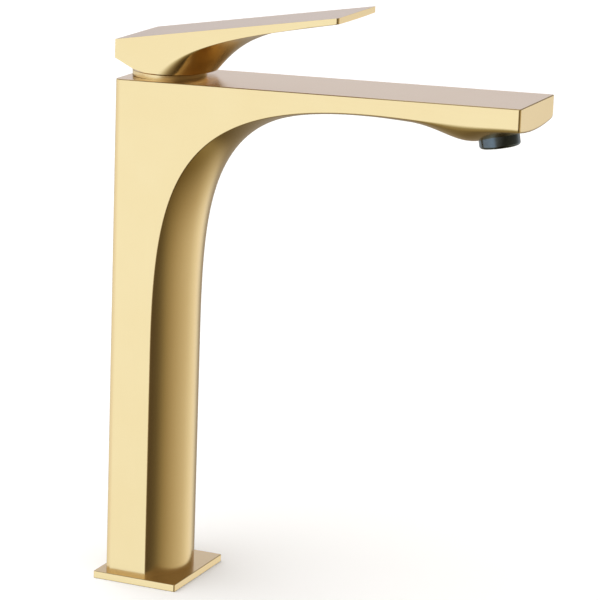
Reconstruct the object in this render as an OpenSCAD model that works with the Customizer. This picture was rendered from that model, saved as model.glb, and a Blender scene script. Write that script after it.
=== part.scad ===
// Tall single-lever basin mixer: a hollow cast column that turns into a flat spout,
// a 35 mm ceramic-disc cartridge under a wide lever, and the fixings in the foot.
// Origin: centre of the seat on the deck. +Z up, +X along the spout, symmetric about Y = 0.

/* [Column] */
// Width of the column and spout across their flat sides
body_w = 52; // [48:1:64]
// Distance from the lever's axis to the flat back of the column
body_back = 20.7; // [20.4:0.1:26]
// Distance from the lever's axis to the front end of the flat side
side_front = 4.5; // [3:0.5:7]
// Distance from the lever's axis to the middle of the rounded front
nose_front = 19; // [18:0.5:24]
// Height of the top face above the deck at the back of the column
back_h = 280.5; // [225:0.5:360]
// Radius of the two upright back corners
corner_r = 4; // [2:0.5:5]
// Wall of the hollow column
wall = 3.4; // [2.5:0.1:4]
// Height above the deck at which the column starts to bend into the spout
arch_foot = 130; // [80:1:150]

/* [Spout] */
// Reach of the spout's end from the lever's axis
reach = 209.8; // [175:0.1:260]
// Rise of the top face from the back of the column to the spout's end
top_rise = 7.5; // [0:0.5:10]
// Distance from the spout's end to its thinnest place
thin_gap = 65; // [60:1:75]
// Height of the flat side at the thinnest place
thin_side = 9.6; // [9:0.1:12]
// How far the underside bulges at the thinnest place
thin_crown = 4.8; // [4:0.1:7]
// Height of the flat side at the spout's end
tip_side = 12.4; // [11:0.1:15]
// How far the underside bulges at the spout's end
tip_crown = 2; // [1:0.1:4]
// How far the underside bulges in front of the aerator
belly_crown = 10.4; // [9:0.1:11]
// How far the side's lower edge dips beside the aerator
belly_dip = 1.2; // [0:0.1:2]
// Distance from the spout's end to the lowest place of the underside
belly_gap = 34; // [32:1:36]
// Width of the flat waterway in the spout
way_w = 36; // [20:1:38]
// Height of the flat waterway in the spout
way_h = 5; // [3:0.1:5]
// Thickness of the metal above the waterway
way_roof = 4.4; // [3.5:0.1:4.5]

/* [Aerator] */
// Radius of the aerator's collar
aer_r = 10.8; // [10:0.1:11]
// Distance from the spout's end to the middle of the aerator's mouth
aer_gap = 19.3; // [18:0.1:20]
// Depth of the aerator's mouth below the top face
aer_drop = 24.8; // [24:0.1:26]
// Lean of the aerator towards the spout's end, degrees
aer_lean = 10; // [8:1:15]
// Length of the collar
aer_collar = 7.5; // [6:0.1:8]
// Length of the threaded part above the collar
aer_thread = 7.5; // [6:0.1:8]

/* [Base] */
// Length of the base plate along the spout
plate_l = 50; // [50:0.5:62]
// Width of the base plate
plate_w = 61; // [58:0.5:74]
// Thickness of the base plate
plate_t = 4.1; // [3.5:0.1:6]
// Radius of the inlet block in the foot
block_r = 16.4; // [15.5:0.1:17]
// Height of the inlet block
block_h = 24; // [20:1:30]
// Distance from the middle of the block to each water inlet
inlet_y = 8; // [7.5:0.1:8.5]
// Core radius of the M10 x 1 inlet thread
inlet_r = 4.5; // [4:0.1:5]
// Distance from the middle of the block to each fixing stud
stud_x = 10.5; // [10:0.1:11]
// Core radius of the M8 stud thread
stud_r = 3.4; // [2.5:0.1:3.5]
// Depth of the threaded holes in the block
thread_depth = 12; // [10:0.5:13]
// Outer radius of the two supply tubes
tube_r = 4; // [3.5:0.1:4.2]

/* [Cartridge] */
// Outer radius of the cartridge
cart_r = 17.4; // [16.5:0.1:17.5]
// Depth of the cartridge seat below the top of the column
seat_depth = 30.5; // [30:0.5:36]
// Height of the lever's pivot above the cartridge seat
pivot_up = 26; // [25.5:0.1:26.5]
// Length of the stem from its pivot to its ball
arm = 10.5; // [10:0.1:11]
// Radius of the ceramic discs' chamber
disc_room_r = 14.5; // [14.3:0.1:14.8]
// Radius of the moving disc
moving_r = 11; // [10:0.1:11]
// Half of the stem's square
stem_half = 4; // [3.5:0.1:4]

/* [Lever] */
// Width of the lever
lever_w = 51; // [46:0.5:56]
// Distance from the lever's axis to its back face
lever_back = 20.5; // [20:0.1:24]
// Distance from the lever's axis to its tip
lever_tip = 108; // [90:1:140]
// Height of the lever's back edge above the top of the column
lever_rise = 21.4; // [20.5:0.1:25]
// Slope of the lever's top face, degrees
lever_slope = 10.2; // [6:0.1:14]
// Thickness of the lever at its tip
lever_tip_t = 3.3; // [2.5:0.1:5]
// Gap between the column's top and the lever's underside
lever_gap = 4.8; // [4.6:0.1:6]
// Radius of the trim ring under the lever
ring_r = 20.1; // [19.5:0.1:20.3]

/* [Hidden] */
$fn = 64;

eps = 0.01;          // overlap that makes a cut go right through
fit = 0.05;          // radial clearance of a running fit
loose = 0.2;         // clearance between parts that only sit together
arc_steps = 16;      // facets across the crown
bend_steps = 40;     // sections round the bend
spout_steps = 12;    // sections along each half of the spout's end
lever_steps = 28;    // sections along the lever

// colours
gold = "#d9bd84";
brass = "#b8934a";
chrome = "#8d9296";
rubber = "#26272a";
plastic = "#e8e6df";
copper = "#b87048";
ceramic = "#f2f0ea";
steel = "#a7abae";

// room for the cartridge's nut, and what has to stay outside it
nut_room_r = cart_r + 1.4;
ring_out = max(ring_r, nut_room_r + 1.3);
col_back = max(body_back, nut_room_r + 1.9);

// main lines
thin_x = reach - thin_gap;
belly_x = reach - belly_gap;
top_angle = atan(top_rise / (reach + col_back));
function top_z(x) = back_h + (x + col_back) * tan(top_angle);

// crown of the column's front: a circle through both creases and the nose
col_crown = nose_front - side_front;
crown_r = (pow(body_w / 2, 2) + pow(col_crown, 2)) / (2 * col_crown);
crown_x = nose_front - crown_r;

// foot
block_x = -1;
block_z = 1.2;
block_top = block_z + block_h;
foot_top = block_top + 4;
groove_depth = 1.8;
socket = 6;
tube_low = block_top - socket;
plate_screw_r = 1.5;
screw_head_r = 3.1;
screw_bite = 6;
screw_back_x = 6.7 - col_back;
screw_front_x = 4;
// clear of the block, however narrow the column
screw_clear = block_r + screw_head_r + 0.6;
screw_y = max(body_w / 2 - 6, sqrt(pow(screw_clear, 2) - pow(screw_front_x - block_x, 2)));

// cartridge, measured up from its seat in the column
seat_z = back_h - seat_depth;
web_z = seat_z - 22;
tube_high = web_z + socket;
pivot_z = seat_z + pivot_up;
ball_z = pivot_z - arm;
ball_r = 2.85;
base_z = seat_z + 0.5;
base_h = 3.5;
fixed_z = base_z + base_h;
fixed_h = 4;
moving_z = fixed_z + fixed_h + fit;
moving_h = 3.4;
carrier_z = moving_z + moving_h;
carrier_top = ball_z + 1.3;
drum_z = carrier_top + 0.5;
drum_r = 11.5;
flange_r = 14.1;
flange_h = 1.6;
washer_h = 0.6;
room_top = drum_z + flange_h + washer_h + 0.1;
shoulder_z = room_top + 2;
neck_r = drum_r + fit + 1.2;
neck_top = back_h - 0.8;
nut_r = nut_room_r - 0.1;
nut_z = shoulder_z + 0.05;
nut_h = 3.6;
port_x = 9;
port_r = 3;
pin_r = 1.5;
pin_half = 9.5;
slot_half = stem_half + 0.15;
ring_z = back_h - 0.3;
ring_top = back_h + 3.4;
dome_r = 12.5;
dome_top = back_h + 4.5;
dome_hole = 9.7;

// aerator: its axis starts at the mouth and runs up into the spout
aer_x = reach - aer_gap;
aer_z = top_z(aer_x) - aer_drop;
aer_top = aer_collar + aer_thread;
aer_neck = aer_r - 1;

// lever
lever_z = back_h + lever_gap;
lever_top = back_h + lever_rise;
function lever_top_z(x) = lever_top + (x + lever_back) * tan(lever_slope);
recess_r = min(ring_out + 1.4, lever_w / 2 - 1);
recess_top = lever_z + 4.7;
socket_top = lever_z + 13.7;
screw_z = lever_z + 10;
screw_r = 2.5;
plug_r = 3.5;
plug_depth = 2.5;

function bezier(p, t) =
    pow(1 - t, 3) * p[0] + 3 * pow(1 - t, 2) * t * p[1]
    + 3 * (1 - t) * t * t * p[2] + pow(t, 3) * p[3];

function mix(a, b, t) = a + (b - a) * t;

// Share of the crown's full bulge at v, which runs from -1 to 1 across the width w.
// The crown is a circular arc of height s.
function bulge(s, w, v) =
    let (r = (w * w / 4 + s * s) / (2 * s))
    (sqrt(r * r - pow(v * w / 2, 2)) - (r - s)) / s;

// One section: outer edge, crease, crown, crease, outer edge. Each place is [x, z].
function section(st, w) = concat(
    [[st[0][0], -w / 2, st[0][1]]],
    [for (k = [0:arc_steps])
        let (v = 2 * k / arc_steps - 1, p = mix(st[1], st[2], bulge(norm(st[2] - st[1]), w, v)))
        [p[0], v * w / 2, p[1]]],
    [[st[0][0], w / 2, st[0][1]]]
);

// Solid with flat sides and a crowned face, through stations [outer, crease, nose].
module crowned_loft(stations, w) {
    m = arc_steps + 3;
    n = len(stations);
    points = [for (st = stations, p = section(st, w)) p];
    skin = [for (i = [0:n - 2], j = [0:m - 1])
        let (a = i * m + j, b = i * m + (j + 1) % m)
        each [[a, a + m, b], [b, a + m, b + m]]];
    ends = [[for (j = [0:m - 1]) j], [for (j = [m - 1:-1:0]) (n - 1) * m + j]];
    polyhedron(points, concat(skin, ends), convexity = 6);
}

// ---------- column and spout ----------

// crease and nose round the bend
crease_bend = [
    [side_front, arch_foot],
    [side_front, back_h - 50],
    [side_front + 12, top_z(thin_x) - thin_side + 2],
    [thin_x, top_z(thin_x) - thin_side]
];
nose_bend = [
    [nose_front, arch_foot],
    [nose_front, back_h - 55.5],
    [nose_front, top_z(thin_x) - thin_side + 3],
    [thin_x, top_z(thin_x) - thin_side - thin_crown]
];

// outer edge round the bend: up the back, then along the top
function bend_outer(t) = t < 0.5
    ? [-col_back, mix(arch_foot, back_h, 2 * t)]
    : let (x = mix(-col_back, thin_x, 2 * t - 1)) [x, top_z(x)];

// lower edge of the spout's flat side
function spout_side(x) =
    let (s = (x - thin_x) / thin_gap)
    top_z(x) - mix(thin_side, tip_side, s) - belly_dip * (0.5 - 0.5 * cos(360 * s));

// middle of the spout's underside: down to the belly, then up to the end
belly_z = spout_side(belly_x) - belly_crown;
belly_in = [
    [thin_x, nose_bend[3][1]],
    [thin_x + 13, nose_bend[3][1] - 0.4],
    [belly_x - 10, belly_z],
    [belly_x, belly_z]
];
belly_out = [
    [belly_x, belly_z],
    [belly_x + 6, belly_z],
    [belly_x + 14, belly_z + 3.2],
    [reach, spout_side(reach) - tip_crown]
];
function spout_station(p) = [[p[0], top_z(p[0])], [p[0], spout_side(p[0])], p];

body_stations = concat(
    [[[-col_back, plate_t], [side_front, plate_t], [nose_front, plate_t]]],
    [for (i = [0:bend_steps])
        let (t = i / bend_steps)
        [bend_outer(t), bezier(crease_bend, t), bezier(nose_bend, t)]],
    [for (i = [1:spout_steps]) spout_station(bezier(belly_in, i / spout_steps))],
    [for (i = [1:spout_steps]) spout_station(bezier(belly_out, i / spout_steps))]
);

// outline seen from above: square but for the two rounded back corners
module body_plan() {
    translate([-col_back + corner_r, -body_w / 2])
        square([reach + col_back, body_w]);
    translate([-col_back, -body_w / 2 + corner_r])
        square([col_back, body_w - 2 * corner_r]);
    for (s = [-1, 1])
        translate([-col_back + corner_r, s * (body_w / 2 - corner_r)])
            circle(r = corner_r);
}

module column_cavity() {
    intersection() {
        translate([crown_x, 0, foot_top])
            cylinder(r = crown_r - wall, h = web_z - foot_top, $fn = 96);
        translate([-col_back + wall, wall - body_w / 2, foot_top])
            cube([col_back + nose_front, body_w - 2 * wall, web_z - foot_top]);
    }
}

// moves its children to the aerator's axis, d up from the mouth
module on_aerator(d) {
    translate([aer_x, 0, aer_z])
        rotate([0, -aer_lean, 0])
            translate([0, 0, d])
                children();
}

// passages: hot and cold up to the cartridge, mixed water out along the spout
module waterways() {
    low_z = seat_z - 6;
    rise_x = nut_room_r + port_r + 5;
    way_x = rise_x - port_r;
    for (s = [-1, 1])
        translate([block_x, s * inlet_y, tube_high - eps])
            cylinder(r = port_r, h = seat_z - tube_high + 2 * eps);
    for (s = [-1, 1])
        translate([block_x, s * inlet_y, web_z - eps])
            cylinder(r = tube_r + fit, h = socket + eps);
    translate([port_x, 0, low_z])
        cylinder(r = port_r, h = seat_z - low_z + eps);
    translate([port_x, 0, low_z])
        rotate([0, 90, 0])
            cylinder(r = port_r, h = rise_x - port_x + port_r);
    translate([rise_x, 0, low_z - port_r])
        cylinder(r = port_r, h = top_z(rise_x) - way_roof - way_h / 2 - low_z + port_r);
    translate([way_x, -way_w / 2, top_z(way_x) - way_roof])
        rotate([0, -top_angle, 0])
            translate([0, 0, -way_h])
                cube([aer_x - 4 - way_x, way_w, way_h]);
}

module body_casting() {
    color(gold)
    difference() {
        intersection() {
            crowned_loft(body_stations, body_w);
            linear_extrude(height = 2 * back_h)
                body_plan();
        }
        column_cavity();
        waterways();
        // bore for the inlet block, with a groove for the foot gasket
        translate([block_x, 0, plate_t - eps])
            cylinder(r = block_r + fit, h = foot_top - plate_t + 2 * eps);
        translate([block_x, 0, plate_t - eps])
            cylinder(r = block_r + 1.6, h = 1 + eps);
        translate([0, 0, plate_t - eps])
            at_plate_screws()
                cylinder(r = plate_screw_r + 0.02, h = screw_bite + 1);
        // two grub screws hold the block from behind
        for (s = [-1, 1])
            translate([-col_back - eps, s * inlet_y, block_top - 10])
                rotate([0, 90, 0])
                    cylinder(r = 2, h = col_back);
        // cartridge chamber, nut thread and seat of the trim ring
        translate([0, 0, seat_z])
            cylinder(r = cart_r + 0.15, h = seat_depth + top_rise);
        translate([0, 0, shoulder_z - 0.6])
            cylinder(r = nut_room_r, h = seat_depth);
        translate([0, 0, ring_z])
            cylinder(r = ring_out + 0.1, h = top_rise);
        // aerator socket
        on_aerator(-4)
            cylinder(r = aer_r + loose, h = aer_collar + 4);
        on_aerator(aer_collar - eps)
            cylinder(r = aer_neck + fit, h = aer_thread + 1);
    }
}

// ---------- foot ----------

module plate_outline(margin, h) {
    translate([margin - plate_l / 2, margin - plate_w / 2, 0])
        cube([plate_l - 2 * margin, plate_w - 2 * margin, h]);
}

// places of the four countersunk screws
module at_plate_screws() {
    for (x = [screw_back_x, screw_front_x], s = [-1, 1])
        translate([x, s * screw_y, 0])
            children();
}

module deck_gasket_shape(clearance) {
    difference() {
        translate([0, 0, -clearance])
            plate_outline(2.2 - clearance, 1 + 2 * clearance);
        translate([0, 0, -1])
            plate_outline(4.2 + clearance, 3);
    }
}

module base_plate() {
    color(gold)
    difference() {
        plate_outline(0, plate_t);
        translate([block_x, 0, -eps])
            cylinder(r = block_r + loose, h = plate_t + 2 * eps);
        deck_gasket_shape(fit);
        at_plate_screws() {
            translate([0, 0, -eps])
                cylinder(r = plate_screw_r + 0.1, h = plate_t + 2 * eps);
            translate([0, 0, -eps])
                cylinder(r1 = screw_head_r, r2 = plate_screw_r + 0.1, h = 1.5);
        }
    }
}

module deck_gasket() {
    color(rubber)
        deck_gasket_shape(0);
}

module foot_gasket() {
    color(rubber)
    translate([block_x, 0, plate_t])
    difference() {
        cylinder(r = block_r + 1.5, h = 0.95);
        translate([0, 0, -eps])
            cylinder(r = block_r + 0.3, h = 1);
    }
}

// four countersunk screws that hold the plate to the column's foot
module plate_screws() {
    color(steel)
    at_plate_screws()
    difference() {
        union() {
            translate([0, 0, 0.1])
                cylinder(r1 = screw_head_r - 0.2, r2 = plate_screw_r, h = 1.4);
            translate([0, 0, 1.5 - eps])
                cylinder(r = plate_screw_r, h = plate_t + screw_bite - 1.5);
        }
        translate([0, 0, -0.5])
            cylinder(r = 1.1, h = 1.4, $fn = 6);
    }
}

module inlet_block() {
    color(brass)
    translate([block_x, 0, 0])
    difference() {
        translate([0, 0, block_z])
            cylinder(r = block_r, h = block_h);
        for (s = [-1, 1]) {
            translate([0, s * inlet_y, block_z - eps])
                cylinder(r = inlet_r, h = thread_depth + eps);
            translate([0, s * inlet_y, block_z])
                cylinder(r = port_r, h = block_h);
            translate([0, s * inlet_y, tube_low])
                cylinder(r = tube_r + fit, h = socket + eps);
            translate([s * stud_x, 0, block_z - eps])
                cylinder(r = stud_r, h = thread_depth + eps);
        }
        // O-ring groove
        translate([0, 0, block_top - 5])
            ring_shape(block_r + 1, block_r - groove_depth, 2.4);
        // flats that the grub screws press on
        for (s = [-1, 1])
            translate([-block_r - 1, s * inlet_y - 2.5, block_top - 12.5])
                cube([block_r + 1 - sqrt(pow(block_r, 2) - pow(inlet_y + 2.5, 2)) + 3.6, 5, 5]);
    }
}

// flat ring from z = 0 up
module ring_shape(outer, inner, h) {
    difference() {
        cylinder(r = outer, h = h);
        translate([0, 0, -eps])
            cylinder(r = inner, h = h + 2 * eps);
    }
}

// round-section ring whose outside has radius outer
module oring(outer, thick) {
    rotate_extrude()
        translate([outer - thick / 2, 0])
            circle(d = thick, $fn = 24);
}

module block_oring() {
    color(rubber)
    translate([block_x, 0, block_top - 3.8])
        oring(block_r, groove_depth);
}

module block_screws() {
    color(steel)
    for (s = [-1, 1])
        translate([-col_back + 1, s * inlet_y, block_top - 10])
            rotate([0, 90, 0])
            difference() {
                cylinder(r = 1.95, h = 5.2);
                translate([0, 0, -eps])
                    cylinder(r = 1.1, h = 2, $fn = 6);
            }
}

module supply_tube(side) {
    color(copper)
    translate([block_x, side * inlet_y, tube_low])
        ring_shape(tube_r, tube_r - 0.8, tube_high - tube_low);
}

module hot_tube() {
    supply_tube(1);
}

module cold_tube() {
    supply_tube(-1);
}

// one O-ring under each tube's upper end and on top of its lower end
module tube_orings() {
    color(rubber)
    for (s = [-1, 1], z = [block_top + 0.75, web_z - 0.75])
        translate([block_x, s * inlet_y, z])
            oring(tube_r + 1.5, 1.5);
}

// ---------- aerator ----------

module aerator_housing() {
    color(chrome)
    on_aerator(0)
    difference() {
        union() {
            cylinder(r1 = aer_r - 0.8, r2 = aer_r, h = 0.8);
            translate([0, 0, 0.8])
                cylinder(r = aer_r, h = aer_collar - 0.8);
            translate([0, 0, aer_collar - eps])
                cylinder(r = aer_neck, h = aer_thread - 1);
        }
        translate([0, 0, -eps])
            cylinder(r = aer_r - 2.2, h = aer_top);
    }
}

module aerator_seal() {
    color(rubber)
    on_aerator(aer_top - 1)
        ring_shape(aer_neck, aer_r - 3.2, 1.2);
}

// flow-straightening insert: a tube with a stack of crossed ribs
module aerator_insert() {
    rib = 1;
    inner = aer_r - 3.4;
    color(plastic)
    on_aerator(2.2) {
        ring_shape(aer_r - 2.25, inner, aer_top - 4);
        for (a = [0, 60, 120])
            rotate([0, 0, a])
                translate([-inner - 0.2, -rib / 2, 1])
                    cube([2 * inner + 0.4, rib, 3]);
    }
}

// perforated outlet disc
module aerator_screen() {
    pitch = 2.3;
    rows = 3;
    color(steel)
    on_aerator(1)
    difference() {
        cylinder(r = aer_r - 2.25, h = 1.1);
        for (i = [-rows:rows], j = [-rows:rows])
            if (abs(i + j) <= rows)
                translate([pitch * (i + j / 2), pitch * j * sqrt(3) / 2, -eps])
                    cylinder(r = 0.8, h = 2, $fn = 16);
    }
}

// ---------- cartridge ----------

// the three water ports, grown by extra
module ports(extra, h) {
    for (s = [-1, 1])
        translate([block_x, s * inlet_y, 0])
            cylinder(r = port_r + extra, h = h);
    translate([port_x, 0, 0])
        cylinder(r = port_r + extra, h = h);
}

module cartridge_base() {
    color(plastic)
    translate([0, 0, base_z])
    difference() {
        cylinder(r = cart_r, h = base_h);
        translate([0, 0, -eps])
            ports(0, base_h + 1);
        translate([0, 0, -eps])
            ports(1.5, 0.6);
        translate([0, 0, base_h - 0.8])
            ports(1.2, 1);
    }
}

// rings that seal the base to the column's seat
module port_seals() {
    color(rubber)
    translate([0, 0, seat_z])
    difference() {
        ports(1.45, 1.05);
        translate([0, 0, -eps])
            ports(0.2, 2);
    }
}

// rings that seal the base to the fixed disc
module disc_seals() {
    color(rubber)
    translate([0, 0, fixed_z - 0.75])
    difference() {
        ports(1.15, 0.73);
        translate([0, 0, -eps])
            ports(0.2, 2);
    }
}

module fixed_disc() {
    color(ceramic)
    translate([0, 0, fixed_z])
    difference() {
        cylinder(r = disc_room_r - 0.1, h = fixed_h);
        translate([0, 0, -eps])
            ports(-0.4, fixed_h + 1);
    }
}

// moving disc, with the mixing hollow in its underside
module moving_disc() {
    color(ceramic)
    translate([0, 0, moving_z])
    difference() {
        cylinder(r = moving_r, h = moving_h);
        translate([1.5, 0, -eps])
            cylinder(r = 4.6, h = 1.6);
    }
}

// clip on the moving disc that the stem's ball pushes
module disc_carrier() {
    color("#6f8fae")
    difference() {
        intersection() {
            translate([0, 0, carrier_z])
                cylinder(r = moving_r, h = carrier_top - carrier_z);
            translate([-moving_r, -9, carrier_z])
                cube([2 * moving_r, 18, carrier_top - carrier_z]);
        }
        translate([0, 0, carrier_z + 0.7])
            cylinder(r = ball_r + 0.35, h = arm);
    }
}

module cartridge_housing() {
    color(plastic)
    difference() {
        union() {
            translate([0, 0, fixed_z])
                cylinder(r = cart_r, h = shoulder_z - fixed_z);
            translate([0, 0, shoulder_z - eps])
                cylinder(r = neck_r, h = neck_top - shoulder_z);
        }
        translate([0, 0, fixed_z - eps])
            cylinder(r = disc_room_r, h = room_top - fixed_z);
        translate([0, 0, fixed_z])
            cylinder(r = drum_r + fit, h = back_h);
    }
}

// low-friction ring between the carrier's flange and the housing
module thrust_ring() {
    color("#3d4247")
    translate([0, 0, drum_z + flange_h + 0.05])
        ring_shape(flange_r, drum_r + 0.35, washer_h);
}

// turns with the lever: a drum with a slot for the stem and two rails for the disc's clip
module swivel_carrier() {
    color("#c9ccce")
    difference() {
        union() {
            translate([0, 0, drum_z])
                cylinder(r = flange_r, h = flange_h);
            translate([0, 0, drum_z])
                cylinder(r = drum_r, h = neck_top - drum_z);
            intersection() {
                translate([0, 0, carrier_z + 0.5])
                    cylinder(r = flange_r - 0.1, h = drum_z - carrier_z);
                for (s = [-1, 1])
                    translate([-5.5, s * 11 - 1.6, carrier_z + 0.5])
                        cube([11, 3.2, drum_z - carrier_z]);
            }
        }
        translate([-8, -slot_half, drum_z - 1])
            cube([16, 2 * slot_half, neck_top - drum_z + 2]);
        translate([0, pin_half + 0.05, pivot_z])
            rotate([90, 0, 0])
                cylinder(r = pin_r, h = 2 * pin_half + 0.1);
    }
}

module pivot_pin() {
    color(steel)
    translate([0, pin_half, pivot_z])
        rotate([90, 0, 0])
            cylinder(r = pin_r, h = 2 * pin_half);
}

// stem: square where the lever grips it, round below, with a ball at its foot
module lever_stem() {
    color(brass)
    difference() {
        union() {
            translate([-stem_half, -stem_half, pivot_z - 3])
                cube([2 * stem_half, 2 * stem_half, socket_top - 0.6 - pivot_z + 3]);
            translate([0, 0, ball_z])
                cylinder(r = 2.1, h = arm);
            translate([0, 0, ball_z])
                sphere(r = ball_r, $fn = 48);
        }
        translate([0, stem_half + 1, pivot_z])
            rotate([90, 0, 0])
                cylinder(r = pin_r + fit, h = 2 * stem_half + 2);
    }
}

// threaded ring with a hexagon, holds the cartridge down
module cartridge_nut() {
    color(brass)
    translate([0, 0, nut_z])
    difference() {
        union() {
            cylinder(r = nut_r, h = nut_h);
            translate([0, 0, nut_h - eps])
                cylinder(r = nut_r - 1.6, h = back_h - 1.1 - nut_z - nut_h, $fn = 6);
        }
        translate([0, 0, -eps])
            cylinder(r = neck_r + loose, h = seat_depth);
    }
}

// visible ring: an upright band, and a low dome with a hole for the stem
module trim_ring() {
    color(gold)
    difference() {
        rotate_extrude($fn = 96)
            polygon([
                [dome_hole, ring_z + 0.6], [ring_out, ring_z + 0.6], [ring_out, ring_top],
                [ring_out - 0.5, ring_top + 0.1], [dome_r, dome_top], [dome_hole, dome_top]
            ]);
        translate([0, 0, ring_z])
            cylinder(r = nut_r - 1, h = 1.7);
    }
}

// seal between the ring and the column
module ring_oring() {
    color(rubber)
    translate([0, 0, ring_z])
        ring_shape(ring_out - 0.4, nut_room_r + 0.2, 0.6);
}

// ---------- lever ----------

tip_low = lever_top_z(lever_tip) - lever_tip_t;
crease_lever = [
    [9.3, lever_z],
    [21, lever_z + 17.6],
    [lever_tip - 58, tip_low - 12],
    [lever_tip, tip_low]
];
nose_lever = [
    [26, lever_z],
    [40, lever_z + 16.5],
    [lever_tip - 60, tip_low - 12],
    [lever_tip, tip_low - 0.2]
];
function lever_outer(t) = t < 0.3
    ? [-lever_back, mix(lever_z, lever_top, t / 0.3)]
    : let (x = mix(-lever_back, lever_tip, (t - 0.3) / 0.7)) [x, lever_top_z(x)];
lever_stations = [for (i = [0:lever_steps])
    let (t = i / lever_steps)
    [lever_outer(t), bezier(crease_lever, t), bezier(nose_lever, t)]];

// everything below the sloped and rounded-off back of the hub
module lever_heel() {
    low = lever_z - 6;
    translate([0, lever_w, 0])
        rotate([90, 0, 0])
            linear_extrude(height = 2 * lever_w)
                polygon([
                    [-lever_back - 9, low], [0, low], [0, lever_z], [-3, lever_z + 0.1],
                    [-9.5, lever_z + 1.5], [-lever_back, lever_z + 6.6],
                    [-lever_back - 9, lever_z + 10.8]
                ]);
}

// outline seen from above, with small bevels at the tip's corners
module lever_plan() {
    cut = 1.5;
    w = lever_w / 2;
    polygon([
        [-lever_back, -w], [lever_tip - cut, -w], [lever_tip, cut - w],
        [lever_tip, w - cut], [lever_tip - cut, w], [-lever_back, w]
    ]);
}

module lever_handle() {
    color(gold)
    difference() {
        intersection() {
            crowned_loft(lever_stations, lever_w);
            linear_extrude(height = 2 * back_h)
                lever_plan();
        }
        lever_heel();
        translate([0, 0, lever_z - 1])
            cylinder(r = recess_r, h = recess_top - lever_z + 1);
        translate([-stem_half - fit, -stem_half - fit, lever_z])
            cube([2 * (stem_half + fit), 2 * (stem_half + fit), socket_top - lever_z]);
        translate([-lever_back - eps, 0, screw_z])
            rotate([0, 90, 0])
                cylinder(r = screw_r, h = lever_back - stem_half);
        translate([-lever_back - eps, 0, screw_z])
            rotate([0, 90, 0])
                cylinder(r = plug_r, h = plug_depth);
    }
}

module set_screw() {
    length = 8;
    color(steel)
    translate([-stem_half - fit - length, 0, screw_z])
        rotate([0, 90, 0])
        difference() {
            cylinder(r = screw_r - 0.02, h = length);
            translate([0, 0, -eps])
                cylinder(r = 1.4, h = 3, $fn = 6);
        }
}

// round plug over the set screw, half red and half blue on the real thing
module index_plug() {
    color("#b5433a")
    translate([-lever_back, 0, screw_z])
        rotate([0, 90, 0]) {
            cylinder(r = plug_r - 0.02, h = plug_depth - 0.1);
            cylinder(r = screw_r - 0.1, h = plug_depth + 2);
        }
}

body_casting();
base_plate();
deck_gasket();
foot_gasket();
plate_screws();
inlet_block();
block_oring();
block_screws();
hot_tube();
cold_tube();
tube_orings();
aerator_housing();
aerator_seal();
aerator_insert();
aerator_screen();
cartridge_base();
port_seals();
fixed_disc();
disc_seals();
moving_disc();
disc_carrier();
cartridge_housing();
thrust_ring();
swivel_carrier();
pivot_pin();
lever_stem();
cartridge_nut();
trim_ring();
ring_oring();
lever_handle();
set_screw();
index_plug();
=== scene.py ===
import math

import bmesh
import bpy
from mathutils import Matrix, Vector


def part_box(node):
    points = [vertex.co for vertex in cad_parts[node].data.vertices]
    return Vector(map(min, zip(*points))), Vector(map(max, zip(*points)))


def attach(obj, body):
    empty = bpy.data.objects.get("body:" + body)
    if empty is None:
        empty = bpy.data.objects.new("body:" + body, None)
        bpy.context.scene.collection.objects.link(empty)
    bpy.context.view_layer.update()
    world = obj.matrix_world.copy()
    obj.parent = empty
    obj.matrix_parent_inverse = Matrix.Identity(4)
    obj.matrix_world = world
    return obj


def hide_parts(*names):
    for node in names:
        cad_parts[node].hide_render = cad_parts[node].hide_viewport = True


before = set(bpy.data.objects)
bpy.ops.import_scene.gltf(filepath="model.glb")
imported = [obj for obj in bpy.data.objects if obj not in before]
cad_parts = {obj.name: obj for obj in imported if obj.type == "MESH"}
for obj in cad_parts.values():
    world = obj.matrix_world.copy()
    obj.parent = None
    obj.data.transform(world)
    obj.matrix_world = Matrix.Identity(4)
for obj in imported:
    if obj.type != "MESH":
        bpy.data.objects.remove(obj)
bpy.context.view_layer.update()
mm = 0.001

# ---------------------------------------------------------------------------
# Column and spout: one brass casting, ground flat on its sides and top and crowned
# along its front and underside, then satin brushed and plated in pale gold. It is
# bored from above for the cartridge, and from below for the foot and the aerator.
# ---------------------------------------------------------------------------


def bezier(p, t):
    """Point at t on the cubic curve through the four handles p."""
    a, b, c, d = (1 - t) ** 3, 3 * (1 - t) ** 2 * t, 3 * (1 - t) * t * t, t ** 3
    return tuple(a * p[0][i] + b * p[1][i] + c * p[2][i] + d * p[3][i] for i in (0, 1))


def mix(a, b, t):
    """Value the share t of the way from a to b."""
    return a + (b - a) * t


def crown_row(bm, crease, nose, ease, half, steps, turn_steps=8):
    """Vertices of one circular arc from crease to crease, through the nose.

    Each crease is eased: the row starts ease before it on the flat side, and joins
    the arc ease after it.
    """
    s = math.dist(crease, nose)
    r = (half * half + s * s) / (2 * s)
    reach = math.asin(half / r) - ease / r
    arc = [reach * (2 * k / steps - 1) for k in range(steps + 1)]
    points = [(r * math.sin(a), r * math.cos(a) - (r - s)) for a in arc]
    start = []
    for k in range(turn_steps):
        t = k / turn_steps
        a, b, c = (1 - t) ** 2, 2 * (1 - t) * t, t * t
        start.append((-half * (a + b) + points[0][0] * c, -ease * a + points[0][1] * c))
    points = start + points + [(-y, h) for y, h in reversed(start)]
    return [bm.verts.new((mix(crease[0], nose[0], h / s), y, mix(crease[1], nose[1], h / s)))
            for y, h in points]


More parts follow.
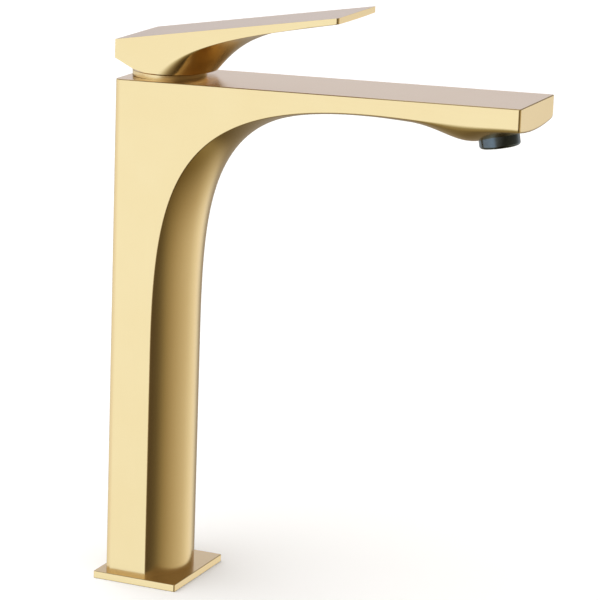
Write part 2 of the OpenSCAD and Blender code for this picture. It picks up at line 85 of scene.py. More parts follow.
def crowned_solid(outer, tip_top, path, steps):
    """Flat-sided solid with a crowned face and rounded corners at its tip.

    outer is the outline from the foot of the first section to the last corner,
    seen from the side, and tip_top is the rest of it: one point above each of the
    last sections of path. A section is (crease, nose, ease, half width).
    """
    bm = bmesh.new()
    rows = [crown_row(bm, *section, steps) for section in path]
    for a, b in zip(rows, rows[1:]):
        for k in range(len(a) - 1):
            bm.faces.new((a[k], a[k + 1], b[k + 1], b[k]))
    flat = len(rows) - len(tip_top)
    half = path[0][3]
    tip_half = [section[3] for section in path[flat:]]
    for side, end in ((-1, 0), (1, -1)):
        edge = [bm.verts.new((x, side * half, z)) for x, z in outer]
        tip = [bm.verts.new((x, side * h, z)) for (x, z), h in zip(tip_top, tip_half)]
        bm.faces.new([row[end] for row in rows[:flat + 1]] + tip[:1] + edge[::-1])
        for i in range(len(tip) - 1):
            bm.faces.new((tip[i], tip[i + 1], rows[flat + i + 1][end], rows[flat + i][end]))
        if side < 0:
            near, near_tip = edge, tip
    for i in range(len(outer) - 1):
        bm.faces.new((near[i], near[i + 1], edge[i + 1], edge[i]))
    bm.faces.new(near[-1:] + near_tip + tip[::-1] + edge[-1:])
    bm.faces.new(rows[0] + [edge[0], near[0]])
    bm.faces.new(rows[-1] + [tip[-1], near_tip[-1]])
    bmesh.ops.recalc_face_normals(bm, faces=bm.faces)
    return bm


def corner_turn(radius, steps=6):
    """How far in from the end, and in from the side, each point of a round corner is."""
    turn = [math.pi / 2 * i / steps for i in range(steps + 1)]
    return [(radius * (1 - math.sin(a)), radius * (1 - math.cos(a))) for a in turn]


def break_edges(bm, width, segments, pick, least=25.0):
    """Rounds the edges that pick chooses by their two ends, where they are sharp."""
    sharp = [e for e in bm.edges if e.is_manifold and e.calc_face_angle(0) > math.radians(least)
             and pick(e.verts[0].co, e.verts[1].co)]
    bmesh.ops.bevel(bm, geom=sharp, offset=width, segments=segments, profile=0.5,
                    affect="EDGES", clamp_overlap=True)


def to_object(bm, name):
    mesh = bpy.data.meshes.new(name)
    bm.to_mesh(mesh)
    bm.free()
    obj = bpy.data.objects.new(name, mesh)
    bpy.context.scene.collection.objects.link(obj)
    return obj


def carve(obj, cutters):
    """Cuts the closed meshes cutters out of obj, and removes them."""
    for cutter in cutters:
        cut = obj.modifiers.new("cut", "BOOLEAN")
        cut.operation = "DIFFERENCE"
        cut.solver = "EXACT"
        cut.object = cutter
    deps = bpy.context.evaluated_depsgraph_get()
    carved = bpy.data.meshes.new_from_object(obj.evaluated_get(deps), depsgraph=deps)
    obj.modifiers.clear()
    old = obj.data
    obj.data = carved
    carved.name = old.name
    bpy.data.meshes.remove(old)
    for cutter in cutters:
        bpy.data.meshes.remove(cutter.data)


def smooth(obj, sharp_deg=38.0):
    """Smooth shading that stays flat on the flat faces."""
    obj.data.shade_smooth()
    obj.data.set_sharp_from_angle(angle=math.radians(sharp_deg))
    even = obj.modifiers.new("even shading", "WEIGHTED_NORMAL")
    even.keep_sharp = True
    even.weight = 80


def lathe(name, profile, steps=128, place=Matrix.Identity(4)):
    """Closed ring or disc: the outline profile, a list of (radius, height), turned about Z."""
    bm = bmesh.new()
    turns = []
    for k in range(steps):
        a = 2 * math.pi * k / steps
        turns.append([bm.verts.new((r * math.cos(a), r * math.sin(a), z)) for r, z in profile])
    for k in range(steps):
        one, two = turns[k], turns[(k + 1) % steps]
        for i in range(len(profile)):
            j = (i + 1) % len(profile)
            bm.faces.new((one[i], two[i], two[j], one[j]))
    bmesh.ops.remove_doubles(bm, verts=bm.verts, dist=1e-7)
    bmesh.ops.recalc_face_normals(bm, faces=bm.faces)
    bmesh.ops.transform(bm, matrix=place, verts=bm.verts)
    return to_object(bm, name)


def drum(radius, low, high, steps=96, place=Matrix.Identity(4)):
    """Plain closed cylinder, used as a cutter."""
    bm = bmesh.new()
    bmesh.ops.create_cone(bm, cap_ends=True, segments=steps, radius1=radius, radius2=radius,
                          depth=high - low)
    bmesh.ops.translate(bm, vec=(0, 0, (low + high) / 2), verts=bm.verts)
    bmesh.ops.transform(bm, matrix=place, verts=bm.verts)
    return to_object(bm, "cutter")


def linear(code):
    """Linear colour of an sRGB hex value."""
    parts = [int(code[i:i + 2], 16) / 255 for i in (1, 3, 5)]
    return tuple(c / 12.92 if c < 0.04045 else ((c + 0.055) / 1.055) ** 2.4 for c in parts) + (1,)


def add(tree, kind, settings=None, **inputs):
    """Adds one node. settings are its properties; inputs are values or sockets to link."""
    node = tree.nodes.new(kind)
    for key, value in (settings or {}).items():
        setattr(node, key, value)
    for key, value in inputs.items():
        socket = node.inputs[int(key[1:])] if key[0] == "i" and key[1:].isdigit() \
            else node.inputs[key.replace("_", " ")]
        if isinstance(value, bpy.types.NodeSocket):
            tree.links.new(value, socket)
        else:
            socket.default_value = value
    return node


def new_material(name, **values):
    """Material with a Principled shader whose fixed values are set on its own sockets."""
    material = bpy.data.materials.new(name)
    material.use_nodes = True
    tree = material.node_tree
    shader = tree.nodes["Principled BSDF"]
    for key, value in values.items():
        shader.inputs[key.replace("_", " ")].default_value = value
    return material, tree, shader


def satin_gold(name, bend_low=None, bend_high=None, along="z"):
    """Brass, satin brushed and plated in pale gold.

    The eye sees soft-edged mirror images, a little drawn out along the brush lines,
    on a warm and faintly cloudy colour. The lines are 0.3 mm apart and 25 mm long,
    coarser than real ones so that they show. They run along x or z, or up z and
    then along x where the height passes from bend_low to bend_high.
    """
    material, tree, shader = new_material(name, Metallic=1.0)
    place = add(tree, "ShaderNodeTexCoord").outputs["Object"]
    across_per_m, along_per_m, clouds_per_m = 3300.0, 40.0, 28.0
    run_z = add(tree, "ShaderNodeVectorMath", {"operation": "MULTIPLY"}, i0=place,
                i1=(across_per_m, across_per_m, along_per_m))
    run_x = add(tree, "ShaderNodeVectorMath", {"operation": "MULTIPLY"}, i0=place,
                i1=(along_per_m, across_per_m, across_per_m))
    if bend_low is not None:
        height = add(tree, "ShaderNodeSeparateXYZ", i0=place).outputs["Z"]
        bend = add(tree, "ShaderNodeMapRange", {"interpolation_type": "SMOOTHSTEP"}, Value=height,
                   From_Min=bend_low, From_Max=bend_high).outputs["Result"]
        up_lines = add(tree, "ShaderNodeTexNoise", Vector=run_z.outputs[0], Scale=1.0, Detail=2.0)
        on_lines = add(tree, "ShaderNodeTexNoise", Vector=run_x.outputs[0], Scale=1.0, Detail=2.0)
        lines = add(tree, "ShaderNodeMix", {"data_type": "FLOAT"}, i0=bend,
                    i2=up_lines.outputs["Fac"], i3=on_lines.outputs["Fac"]).outputs[0]
    else:
        run = run_x if along == "x" else run_z
        lines = add(tree, "ShaderNodeTexNoise", Vector=run.outputs[0], Scale=1.0,
                    Detail=2.0).outputs["Fac"]
    clouds = add(tree, "ShaderNodeTexNoise", Vector=place, Scale=clouds_per_m,
                 Detail=3.0).outputs["Fac"]
    colour = add(tree, "ShaderNodeMix", {"data_type": "RGBA"}, i0=clouds,
                 i6=linear("#f4d59b"), i7=linear("#f7dba5"))
    tree.links.new(colour.outputs[2], shader.inputs["Base Color"])
    rough = add(tree, "ShaderNodeMapRange", Value=lines, To_Min=0.2, To_Max=0.27)
    tree.links.new(rough.outputs["Result"], shader.inputs["Roughness"])
    relief = add(tree, "ShaderNodeBump", Height=lines, Strength=0.06, Distance=0.00003)
    tree.links.new(relief.outputs["Normal"], shader.inputs["Normal"])
    return material


low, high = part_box("body_casting")
body_half = high.y
back_x, tip_x = low.x, high.x
foot_z = low.z
top_rise = 7.5 * mm
back_top = high.z - top_rise
slope = top_rise / (tip_x - back_x)


def top_z(x):
    """Height of the sloping top face."""
    return back_top + (x - back_x) * slope


side_front, nose_front = 4.5 * mm, 19 * mm
arch_foot = 130 * mm
thin_gap, belly_gap = 65 * mm, 34 * mm
thin_side, thin_crown = 9.6 * mm, 4.8 * mm
tip_side, tip_crown = 12.4 * mm, 2 * mm
belly_crown, belly_dip = 10.4 * mm, 1.2 * mm
thin_x, belly_x = tip_x - thin_gap, tip_x - belly_gap
thin_low = top_z(thin_x) - thin_side


def spout_side(x):
    """Lower edge of the spout's flat side, which dips beside the aerator."""
    s = (x - thin_x) / thin_gap
    dip = belly_dip * (0.5 - 0.5 * math.cos(2 * math.pi * s))
    return top_z(x) - mix(thin_side, tip_side, s) - dip


# handles of the curves that the flat side's lower edge and the crown's ridge follow
crease_bend = [(side_front, arch_foot), (side_front, back_top - 50 * mm),
               (side_front + 12 * mm, thin_low + 2 * mm), (thin_x, thin_low)]
nose_bend = [(nose_front, arch_foot), (nose_front, back_top - 55.5 * mm),
             (nose_front, thin_low + 3 * mm), (thin_x, thin_low - thin_crown)]
belly_z = spout_side(belly_x) - belly_crown
belly_in = [(thin_x, thin_low - thin_crown), (thin_x + 13 * mm, thin_low - thin_crown - 0.4 * mm),
            (belly_x - 10 * mm, belly_z), (belly_x, belly_z)]
belly_out = [(belly_x, belly_z), (belly_x + 6 * mm, belly_z),
             (belly_x + 14 * mm, belly_z + 3.2 * mm), (tip_x, spout_side(tip_x) - tip_crown)]

crisp, belly_ease = 0.5 * mm, 2.2 * mm
tip_round, corner_r, top_break = 1.3 * mm, 4 * mm, 0.6 * mm
least_step = 0.2 * mm
straight_steps, bend_steps, belly_steps = 8, 120, 40
body_path = []
for i in range(straight_steps):
    z = mix(foot_z, arch_foot, i / straight_steps)
    body_path.append(((side_front, z), (nose_front, z), crisp, body_half))
for i in range(bend_steps + 1):
    t = i / bend_steps
    body_path.append((bezier(crease_bend, t), bezier(nose_bend, t), crisp, body_half))
belly = [bezier(belly_in, i / belly_steps) for i in range(1, belly_steps + 1)]
belly += [bezier(belly_out, i / belly_steps) for i in range(1, belly_steps - 2)]
for x, z in belly:
    if x < tip_x - tip_round - least_step:
        soft = math.sin(math.pi * min((x - thin_x) / thin_gap, 0.5)) ** 2
        body_path.append(((x, spout_side(x)), (x, z), mix(crisp, belly_ease, soft), body_half))
# the lower edge and the two corners of the tip share one radius
last_x, last_z = belly[-1]
tip_top = []
for back_off, side_off in corner_turn(tip_round, 8):
    x = tip_x - back_off
    z = mix(last_z, belly_out[-1][1], (x - last_x) / (tip_x - last_x))
    body_path.append(((x, spout_side(x) + side_off), (x, z + side_off), belly_ease,
                      body_half - side_off))
    tip_top.append((x, top_z(x)))

body_bm = crowned_solid([(back_x, foot_z), (back_x, back_top)], tip_top, body_path, 48)
back_corners = [e for e in body_bm.edges if all(abs(v.co.x - back_x) < 1e-6 for v in e.verts)
                and abs(e.verts[0].co.y - e.verts[1].co.y) < 1e-6]
bmesh.ops.bevel(body_bm, geom=back_corners, offset=corner_r, segments=12, profile=0.5,
                affect="EDGES")
break_edges(body_bm, top_break, 4,
            lambda a, b: abs(a.z - top_z(a.x)) < 1e-6 and abs(b.z - top_z(b.x)) < 1e-6)
casting = to_object(body_bm, "column_and_spout")

# the aerator's axis starts at its mouth and runs up into the spout
aer_r, collar_h = 10.8 * mm, 7.5 * mm
aer_x = tip_x - 19.3 * mm
aer_z = top_z(aer_x) - 24.8 * mm
aer_lean = math.radians(10)
aer_axis = Matrix.Translation((aer_x, 0, aer_z)) @ Matrix.Rotation(-aer_lean, 4, "Y")
cartridge_bore, nut_bore, ring_seat = 17.55 * mm, 18.8 * mm, 20.2 * mm
block_bore, gasket_bore, block_x = 16.45 * mm, 18 * mm, -1 * mm
at_block = Matrix.Translation((block_x, 0, 0))
above, below = back_top + 10 * mm, foot_z - 1 * mm
carve(casting, [
    drum(cartridge_bore, back_top - 30.5 * mm, above),
    drum(nut_bore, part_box("cartridge_nut")[0].z - 0.6 * mm, above),
    drum(ring_seat, back_top - 0.3 * mm, above),
    drum(block_bore, below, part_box("inlet_block")[1].z + 4 * mm, place=at_block),
    drum(gasket_bore, below, foot_z + 1 * mm, place=at_block),
    drum(aer_r + 0.2 * mm, -4 * mm, collar_h, place=aer_axis),
    drum(aer_r - 0.95 * mm, collar_h - 0.1 * mm, 16 * mm, place=aer_axis),
])
smooth(casting)
arch_low, arch_high = 0.20, 0.27
casting.data.materials.append(satin_gold("brushed satin gold casting", arch_low, arch_high))
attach(casting, "body")
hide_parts("body_casting")

# ---------------------------------------------------------------------------
# Base plate: a separate stamped and milled brass plate that the column stands
# on, finished like the casting. Its edges are broken and its corners eased.
# ---------------------------------------------------------------------------

low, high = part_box("base_plate")
plate_bm = bmesh.new()
bmesh.ops.create_cube(plate_bm, size=1)
bmesh.ops.scale(plate_bm, vec=(high - low), verts=plate_bm.verts)
bmesh.ops.translate(plate_bm, vec=(low + high) / 2, verts=plate_bm.verts)
corners = [e for e in plate_bm.edges if abs(e.verts[0].co.z - e.verts[1].co.z) > mm]
plate_corner, plate_break, plate_bore = 0.8 * mm, 0.35 * mm, 16.6 * mm
bmesh.ops.bevel(plate_bm, geom=corners, offset=plate_corner, segments=4, profile=0.5,
                affect="EDGES")
break_edges(plate_bm, plate_break, 3, lambda a, b: abs(a.z - b.z) < 1e-6)
plate = to_object(plate_bm, "base_plate_satin")
carve(plate, [drum(plate_bore, -1 * mm, high.z + 1 * mm, place=at_block)])
smooth(plate)
plate.data.materials.append(satin_gold("brushed satin gold plate", along="x"))
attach(plate, "body")
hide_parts("base_plate")

# ---------------------------------------------------------------------------
# Trim ring: turned brass ring that hides the cartridge nut, with an upright band
# and a low dome that the stem passes through. Finished like the casting.
# ---------------------------------------------------------------------------

low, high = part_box("trim_ring")
ring_r = high.x
ring_top = back_top + 3.4 * mm
dome_r, hole_r, inner_r = 12.5 * mm, 9.7 * mm, 17.7 * mm
ease, dome_wall = 0.35 * mm, 1.1 * mm


def quarter(r, z, width, start, steps=4):
    """Points of a quarter turn of radius width about (r, z), from the angle start."""
    return [(r + width * math.cos(math.radians(start + 90 * i / steps)),
             z + width * math.sin(math.radians(start + 90 * i / steps))) for i in range(steps + 1)]


ring_profile = [(inner_r, low.z), (ring_r - ease, low.z)]
ring_profile += quarter(ring_r - ease, low.z + ease, ease, 270)[1:]
ring_profile += quarter(ring_r - ease, ring_top - ease, ease, 0)
ring_profile += [(dome_r, high.z), (hole_r + ease, high.z)]
ring_profile += quarter(hole_r + ease, high.z - ease, ease, 90)[1:]
ring_profile += [(hole_r, low.z + dome_wall), (inner_r, low.z + dome_wall)]
ring = lathe("trim_ring_satin", ring_profile, 160)
smooth(ring, 50)
ring.data.materials.append(satin_gold("brushed satin gold ring"))
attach(ring, "body")
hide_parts("trim_ring")

# ---------------------------------------------------------------------------
# Lever: pressure-cast, a flat-topped wedge whose hub covers the trim ring. Its
# sides are flat, its underside crowned, its heel cut away so that it can tip
# back. Ground, satin brushed and plated like the column.
# ---------------------------------------------------------------------------

low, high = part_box("lever_handle")
lever_half = high.y
heel_x, lever_tip = low.x, high.x
hub_z = low.z
lever_slope = math.radians(10.2)
heel_top = high.z - (lever_tip - heel_x) * math.tan(lever_slope)
tip_low = high.z - 3.3 * mm
crease_lever = [(9.3 * mm, hub_z), (21 * mm, hub_z + 17.6 * mm),
                (lever_tip - 58 * mm, tip_low - 12 * mm), (lever_tip, tip_low)]
nose_lever = [(26 * mm, hub_z), (40 * mm, hub_z + 16.5 * mm),
              (lever_tip - 60 * mm, tip_low - 12 * mm), (lever_tip, tip_low - 0.2 * mm)]
# the crease is widely eased at the hub and grows crisp along its first part
soft_hub, soft_end = 6.5 * mm, 0.45
lever_round, lever_break, lever_steps = 1.5 * mm, 0.7 * mm, 96
lever_path = []
for i in range(lever_steps):
    t = i / lever_steps
    fade = max(0, 1 - t / soft_end) ** 1.5
    crease, nose = bezier(crease_lever, t), bezier(nose_lever, t)
    if crease[0] < lever_tip - lever_round - least_step:
        lever_path.append((crease, nose, mix(crisp, soft_hub, fade), lever_half))
        last_x, last_z = crease
lever_tip_top = []
for back_off, side_off in corner_turn(lever_round):
    x = lever_tip - back_off
    z = mix(last_z, tip_low, (x - last_x) / (lever_tip - last_x))
    lever_path.append(((x, z), (x, z - 0.2 * mm), crisp, lever_half - side_off))
    lever_tip_top.append((x, high.z - back_off * math.tan(lever_slope)))
heel = [(0, hub_z), (-3 * mm, hub_z + 0.1 * mm), (-9.5 * mm, hub_z + 1.5 * mm),
        (heel_x, hub_z + 6.6 * mm), (heel_x, heel_top)]
lever_bm = crowned_solid(heel, lever_tip_top, lever_path, 40)


def on_top(p):
    """Whether the point p lies on the lever's sloping top."""
    return abs(p.z - heel_top - (p.x - heel_x) * math.tan(lever_slope)) < 1e-6


def outer_edge(a, b):
    """Edges of the lever's top, heel and flat sides, but not of its crown."""
    low_side = max(abs(a.z - hub_z), abs(b.z - hub_z)) < 1e-6 and abs(a.y - b.y) < 1e-6
    return (on_top(a) and on_top(b)) or max(a.x, b.x) < 1e-6 or low_side


break_edges(lever_bm, lever_break, 4, outer_edge, least=40)
lever = to_object(lever_bm, "lever_satin")
# the hub is recessed over the ring, bored for the stem, and drilled from behind
# for the set screw and the plug that hides it
screw_z = hub_z + 10 * mm
stem_bore, screw_bore, plug_bore = 5.75 * mm, 2.5 * mm, 3.5 * mm
across = Matrix.Translation((heel_x, 0, screw_z)) @ Matrix.Rotation(math.pi / 2, 4, "Y")
carve(lever, [
    drum(ring_r + 1.4 * mm, hub_z - 1 * mm, hub_z + 4.7 * mm, 128),
    drum(stem_bore, hub_z, hub_z + 13.7 * mm),
    drum(screw_bore, -1 * mm, 16 * mm, 48, across),
    drum(plug_bore, -1 * mm, 2.5 * mm, 64, across),
])
smooth(lever)
lever.data.materials.append(satin_gold("brushed satin gold lever", along="x"))
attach(lever, "lever")
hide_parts("lever_handle")

# ---------------------------------------------------------------------------
# Aerator collar: turned from brass and plated in dark chrome. It is screwed into
# the underside of the spout, and leans a little towards the spout's end.
# ---------------------------------------------------------------------------

bore, thread_r, thread_top = aer_r - 2.2 * mm, aer_r - 1 * mm, 14 * mm
lip, mouth_break, top_bevel = 1.4 * mm, 0.4 * mm, 0.2 * mm
collar_profile = [(bore, mouth_break), (bore + mouth_break, 0), (aer_r - lip, 0)]
collar_profile += quarter(aer_r - lip, lip, lip, 270, 8)[1:]
collar_profile += [(aer_r, collar_h - top_bevel), (aer_r - top_bevel, collar_h),
                   (thread_r, collar_h), (thread_r, thread_top), (bore, thread_top)]
collar = lathe("aerator_collar", collar_profile, 128, aer_axis)
smooth(collar, 45)

# dark chrome over turned brass: a cool, clear mirror, dimmed by faint mottling
dark_chrome, tree, shader = new_material("dark satin chrome", Metallic=1.0)
place = add(tree, "ShaderNodeTexCoord").outputs["Object"]
mottle_per_m = 900.0
mottle = add(tree, "ShaderNodeTexNoise", Vector=place, Scale=mottle_per_m,
             Detail=3.0).outputs["Fac"]
shade = add(tree, "ShaderNodeMix", {"data_type": "RGBA"}, i0=mottle,
            i6=linear("#565f64"), i7=linear("#6f787c"))
tree.links.new(shade.outputs[2], shader.inputs["Base Color"])
rough = add(tree, "ShaderNodeMapRange", Value=mottle, To_Min=0.14, To_Max=0.24)
tree.links.new(rough.outputs["Result"], shader.inputs["Roughness"])
collar.data.materials.append(dark_chrome)
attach(collar, "body")
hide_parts("aerator_housing")

# ---------------------------------------------------------------------------
# Index plug: a moulded plastic button with a low dome, half red for hot and half
# blue for cold. It is pressed into the lever's heel and hides the set screw.
# ---------------------------------------------------------------------------

plug_r, peg_r, head_h, plug_h = 3.48 * mm, 2.4 * mm, 2.4 * mm, 4.5 * mm
plug_profile = [(0, -0.05 * mm), (plug_r * 0.55, 0.05 * mm), (plug_r - 0.3 * mm, 0.15 * mm),
                (plug_r, 0.45 * mm), (plug_r, head_h), (peg_r, head_h), (peg_r, plug_h), (0, plug_h)]
button = lathe("index_button", plug_profile, 64, across)
smooth(button, 50)
# moulded acrylic in two colours: saturated, with a soft sheen and a faint mottle
plug_mat, tree, shader = new_material("moulded red and blue acrylic", Roughness=0.35, IOR=1.49)
place = add(tree, "ShaderNodeTexCoord").outputs["Object"]
side = add(tree, "ShaderNodeSeparateXYZ", i0=place).outputs["Y"]
which = add(tree, "ShaderNodeMath", {"operation": "GREATER_THAN"}, i0=side, i1=0.0)
fleck_per_m = 1500.0
fleck = add(tree, "ShaderNodeTexNoise", Vector=place, Scale=fleck_per_m).outputs["Fac"]
red = add(tree, "ShaderNodeMix", {"data_type": "RGBA"}, i0=fleck,
          i6=linear("#a5231c"), i7=linear("#bb3028"))
blue = add(tree, "ShaderNodeMix", {"data_type": "RGBA"}, i0=fleck,
           i6=linear("#1f4c94"), i7=linear("#285aa8"))
two = add(tree, "ShaderNodeMix", {"data_type": "RGBA"}, i0=which.outputs[0],
          i6=blue.outputs[2], i7=red.outputs[2])
tree.links.new(two.outputs[2], shader.inputs["Base Color"])
button.data.materials.append(plug_mat)
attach(button, "lever")
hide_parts("index_plug")

# ---------------------------------------------------------------------------
# Inner pieces: cartridge, water lines, foot, seals and screws, as they come from
# the lathe, the mould or the press. They keep their shape from the frame and are
# given what each is made of: brass, steel, copper, plastic, ceramic or rubber.
# ---------------------------------------------------------------------------


def grained(name, dark, light, grain_mm, rough_low, rough_high, **values):
    """Plain stock with a fine grain: two close shades and a matching roughness."""
    material, tree, shader = new_material(name, **values)
    place = add(tree, "ShaderNodeTexCoord").outputs["Object"]
    grain = add(tree, "ShaderNodeTexNoise", Vector=place, Scale=1 / (grain_mm * mm),
                Detail=4.0).outputs["Fac"]
    shade = add(tree, "ShaderNodeMix", {"data_type": "RGBA"}, i0=grain,
                i6=linear(dark), i7=linear(light))
    tree.links.new(shade.outputs[2], shader.inputs["Base Color"])
    rough = add(tree, "ShaderNodeMapRange", Value=grain, To_Min=rough_low, To_Max=rough_high)
    tree.links.new(rough.outputs["Result"], shader.inputs["Roughness"])
    relief = add(tree, "ShaderNodeBump", Height=grain, Strength=0.1, Distance=0.00003)
    tree.links.new(relief.outputs["Normal"], shader.inputs["Normal"])
    return material


# turned brass, bright yellow with fine tool marks
turned_brass = grained("turned brass", "#b08a3e", "#c9a455", 0.4, 0.22, 0.34, Metallic=1.0)
# stainless steel, grey with a fine drawn finish
stainless = grained("stainless steel", "#8e9193", "#a9acad", 0.3, 0.25, 0.38, Metallic=1.0)
# drawn copper tube, a little dulled
drawn_copper = grained("drawn copper", "#a5623f", "#c07a52", 1.5, 0.28, 0.42, Metallic=1.0)
# moulded nitrile rubber, matt black
nitrile = grained("nitrile rubber", "#17181a", "#212326", 0.5, 0.6, 0.75)
# moulded acetal, off-white and waxy
acetal = grained("white acetal", "#dedcd4", "#ebe9e2", 0.8, 0.32, 0.42, IOR=1.48)
# the same in blue, for the clip that carries the moving disc
blue_acetal = grained("blue acetal", "#557697", "#6586a6", 0.8, 0.32, 0.42, IOR=1.48)
# glass-filled nylon, dark grey with a fleck
nylon = grained("glass-filled nylon", "#393d41", "#4b5055", 0.6, 0.45, 0.6, IOR=1.53)
# lapped alumina, white and smooth
alumina = grained("lapped alumina", "#ece9e0", "#f6f4ee", 0.5, 0.12, 0.2, IOR=1.76)

made_of = {
    turned_brass: ["inlet_block", "cartridge_nut", "lever_stem"],
    stainless: ["plate_screws", "block_screws", "pivot_pin", "set_screw", "aerator_screen"],
    drawn_copper: ["hot_tube", "cold_tube"],
    nitrile: ["deck_gasket", "foot_gasket", "block_oring", "tube_orings", "aerator_seal", "port_seals",
              "disc_seals", "ring_oring"],
    acetal: ["aerator_insert", "cartridge_base", "cartridge_housing"],
    blue_acetal: ["disc_carrier"],
    nylon: ["thrust_ring", "swivel_carrier"],
    alumina: ["fixed_disc", "moving_disc"],
}
for material, names in made_of.items():
    for name in names:
        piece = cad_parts[name]
        piece.data.materials.clear()
        piece.data.materials.append(material)

# ---------------------------------------------------------------------------
# Studio: a pale floor in a plain pale room, whose soft light is bright on the left
# and behind on the right. The dim stretch between them darkens the crowned front.
# ---------------------------------------------------------------------------

floor_bm = bmesh.new()
floor_half = 6
bmesh.ops.create_grid(floor_bm, x_segments=1, y_segments=1, size=floor_half)
floor = to_object(floor_bm, "floor")
# matt pale board: it takes a soft shadow and mirrors nothing
floor_mat, tree, shader = new_material("matt pale board", Roughness=0.9)
shader.inputs["Base Color"].default_value = linear("#f4f4f4")
floor.data.materials.append(floor_mat)
floor.visible_glossy = False
floor.visible_shadow = False

world = bpy.data.worlds.new("studio")
world.use_nodes = True
bpy.context.scene.world = world
tree = world.node_tree
way = add(tree, "ShaderNodeTexCoord").outputs["Generated"]
split = add(tree, "ShaderNodeSeparateXYZ", i0=way)
toward = add(tree, "ShaderNodeMath", {"operation": "MULTIPLY"}, i0=split.outputs["Y"], i1=-1.0)
bearing = add(tree, "ShaderNodeMath", {"operation": "ARCTAN2"}, i0=split.outputs["X"],
              i1=toward.outputs[0])
compass = add(tree, "ShaderNodeMapRange", Value=bearing.outputs[0], From_Min=-math.pi,
              From_Max=math.pi).outputs["Result"]


def light_by(place, stops, first, last, brightest=1.0):
    """Light that changes with place, which runs from first to last, as a share of brightest."""
    band = add(tree, "ShaderNodeValToRGB", Fac=place)
    band.color_ramp.interpolation = "LINEAR"
    spots = band.color_ramp.elements
    while len(spots) < len(stops):
        spots.new(0.5)
    for spot, (at, colour) in zip(spots, stops):
        spot.position = (at - first) / (last - first)
        spot.color = (*(c / brightest for c in colour), 1)
    return band.outputs["Color"]


# Light of the room by bearing in degrees: 0 is in front of the flat side that has the
# spout's end on its right, and 90 is beyond the spout's end. low_wall is below eye
# level, high_wall above it, and ceiling higher still.
low_wall = [(-180, (0.32, 0.30, 0.28)), (-165, (0.34, 0.32, 0.29)), (-150, (0.44, 0.42, 0.39)),
            (-125, (0.74, 0.76, 0.76)), (-85, (0.88, 0.92, 0.98)), (-45, (0.98, 1.06, 1.18)),
            (-27, (1.04, 1.18, 1.34)), (-12, (1.08, 1.22, 1.40)), (4, (0.42, 0.37, 0.29)),
            (22, (0.16, 0.12, 0.07)), (40, (0.07, 0.05, 0.028)), (56, (0.12, 0.10, 0.055)),
            (72, (0.32, 0.27, 0.16)), (92, (0.48, 0.43, 0.31)), (125, (0.68, 0.65, 0.56)),
            (150, (0.92, 0.94, 0.93)), (162, (0.92, 0.95, 0.98)), (174, (0.42, 0.40, 0.38)),
            (180, (0.32, 0.30, 0.28))]
high_wall = [(-180, (0.50, 0.50, 0.58)), (-170, (0.64, 0.65, 0.80)), (-160, (0.74, 0.76, 0.94)),
             (-152, (0.74, 0.76, 0.94)), (-138, (0.30, 0.27, 0.22)), (-118, (0.32, 0.29, 0.24)),
             (-95, (0.70, 0.72, 0.76)), (-25, (1.0, 1.12, 1.28)), (10, (0.55, 0.52, 0.46)),
             (38, (0.20, 0.17, 0.12)), (52, (0.11, 0.09, 0.06)), (135, (0.11, 0.09, 0.06)),
             (155, (0.18, 0.16, 0.12)), (168, (0.28, 0.26, 0.24)), (180, (0.50, 0.50, 0.58))]
ceiling = [(-180, (0.12, 0.10, 0.08)), (-169, (0.14, 0.12, 0.10)), (-157, (0.50, 0.49, 0.48)),
           (-100, (0.50, 0.48, 0.46)), (-80, (0.28, 0.26, 0.23)), (-35, (0.22, 0.20, 0.17)),
           (-10, (0.42, 0.40, 0.36)), (30, (0.42, 0.40, 0.36)), (60, (0.24, 0.21, 0.17)),
           (90, (0.34, 0.31, 0.27)), (150, (0.34, 0.31, 0.27)), (172, (0.12, 0.10, 0.08)),
           (180, (0.12, 0.10, 0.08))]
brightest = 1.45


def rising(low, high):
    """0 below the height low of the gaze, 1 above high, and a smooth step between."""
    return add(tree, "ShaderNodeMapRange", {"interpolation_type": "SMOOTHSTEP"},
               Value=split.outputs["Z"], From_Min=low, From_Max=high).outputs["Result"]


walls = add(tree, "ShaderNodeMix", {"data_type": "RGBA"}, i0=rising(-0.14, 0.1),
            i6=light_by(compass, low_wall, -180, 180, brightest),
            i7=light_by(compass, high_wall, -180, 180, brightest))
walls = add(tree, "ShaderNodeMix", {"data_type": "RGBA"}, i0=rising(0.27, 0.45),
            i6=walls.outputs[2], i7=light_by(compass, ceiling, -180, 180, brightest))
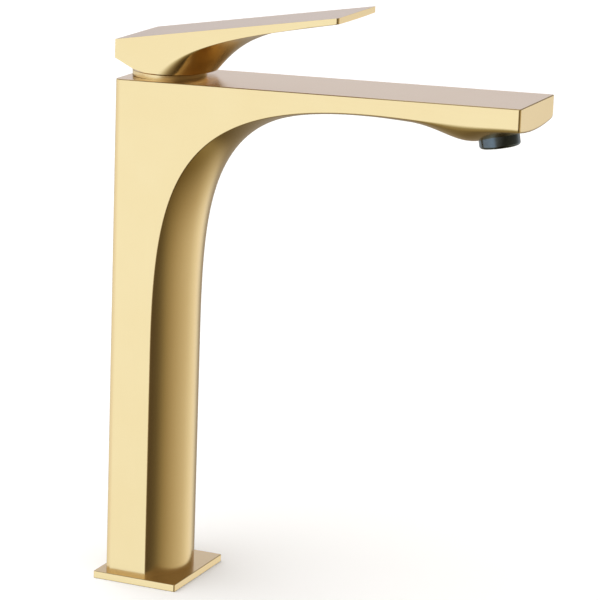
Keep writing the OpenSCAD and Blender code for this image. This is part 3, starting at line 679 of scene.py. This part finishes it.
# from straight down to straight up: the light from below is warm and dim
heights = [(-1, (0.28, 0.23, 0.12)), (-0.8, (0.30, 0.25, 0.14)), (-0.5, (0.72, 0.68, 0.58)),
           (-0.34, (1, 1, 1)), (0.88, (1, 1, 1)), (1, (2.0, 2.0, 2.0))]
gaze = add(tree, "ShaderNodeMapRange", Value=split.outputs["Z"], From_Min=-1.0, From_Max=1.0)
walls = add(tree, "ShaderNodeMix", {"data_type": "RGBA", "blend_type": "MULTIPLY"}, i0=1.0,
            i6=walls.outputs[2], i7=light_by(gaze.outputs["Result"], heights, -1, 1))
room = add(tree, "ShaderNodeBackground", Color=walls.outputs[2], Strength=brightest)
# the camera itself sees a plain white backdrop
pale = add(tree, "ShaderNodeBackground", Color=(1, 1, 1, 1), Strength=1.0)
path = add(tree, "ShaderNodeLightPath")
both = add(tree, "ShaderNodeMixShader", i0=path.outputs["Is Camera Ray"], i1=room.outputs[0],
           i2=pale.outputs[0])
tree.links.new(both.outputs[0], tree.nodes["World Output"].inputs["Surface"])
tree.nodes.remove(tree.nodes["Background"])

# a broad overhead light for the floor and the plastics, which the metal doesn't mirror
overhead_data = bpy.data.lights.new("overhead light", "SUN")
overhead_data.energy = 3.0
overhead_data.angle = math.radians(80)
overhead = bpy.data.objects.new("overhead light", overhead_data)
overhead.rotation_euler = (math.radians(12), math.radians(-10), 0)
overhead.visible_glossy = False
bpy.context.scene.collection.objects.link(overhead)

# ---------------------------------------------------------------------------
# Camera: a long lens a little above the spout, turned from the flat side towards
# the spout's end and slightly rolled, so that the whole mixer fits its frame.
# ---------------------------------------------------------------------------

azimuth, elevation, roll = math.radians(23.17), math.radians(13.97), math.radians(2.01)
back = Vector((math.sin(azimuth) * math.cos(elevation), -math.cos(azimuth) * math.cos(elevation),
               math.sin(elevation)))
right = Vector((math.cos(azimuth), math.sin(azimuth), 0))
up = back.cross(right)
camera_right = math.cos(roll) * right + math.sin(roll) * up
camera_up = -math.sin(roll) * right + math.cos(roll) * up
aim_right, aim_height, distance = 74.37 * mm, 158.37 * mm, 1717.3 * mm
eye = right * aim_right + Vector((0, 0, aim_height)) + back * distance
camera_data = bpy.data.cameras.new("camera")
camera_data.sensor_width = 36
camera_data.lens = 187.8
camera_data.clip_start = 0.1
camera = bpy.data.objects.new("camera", camera_data)
turn = Matrix((camera_right, camera_up, back)).transposed()
camera.matrix_world = Matrix.Translation(eye) @ turn.to_4x4()
bpy.context.scene.collection.objects.link(camera)
bpy.context.scene.camera = camera
bpy.context.scene.view_settings.view_transform = "Standard"
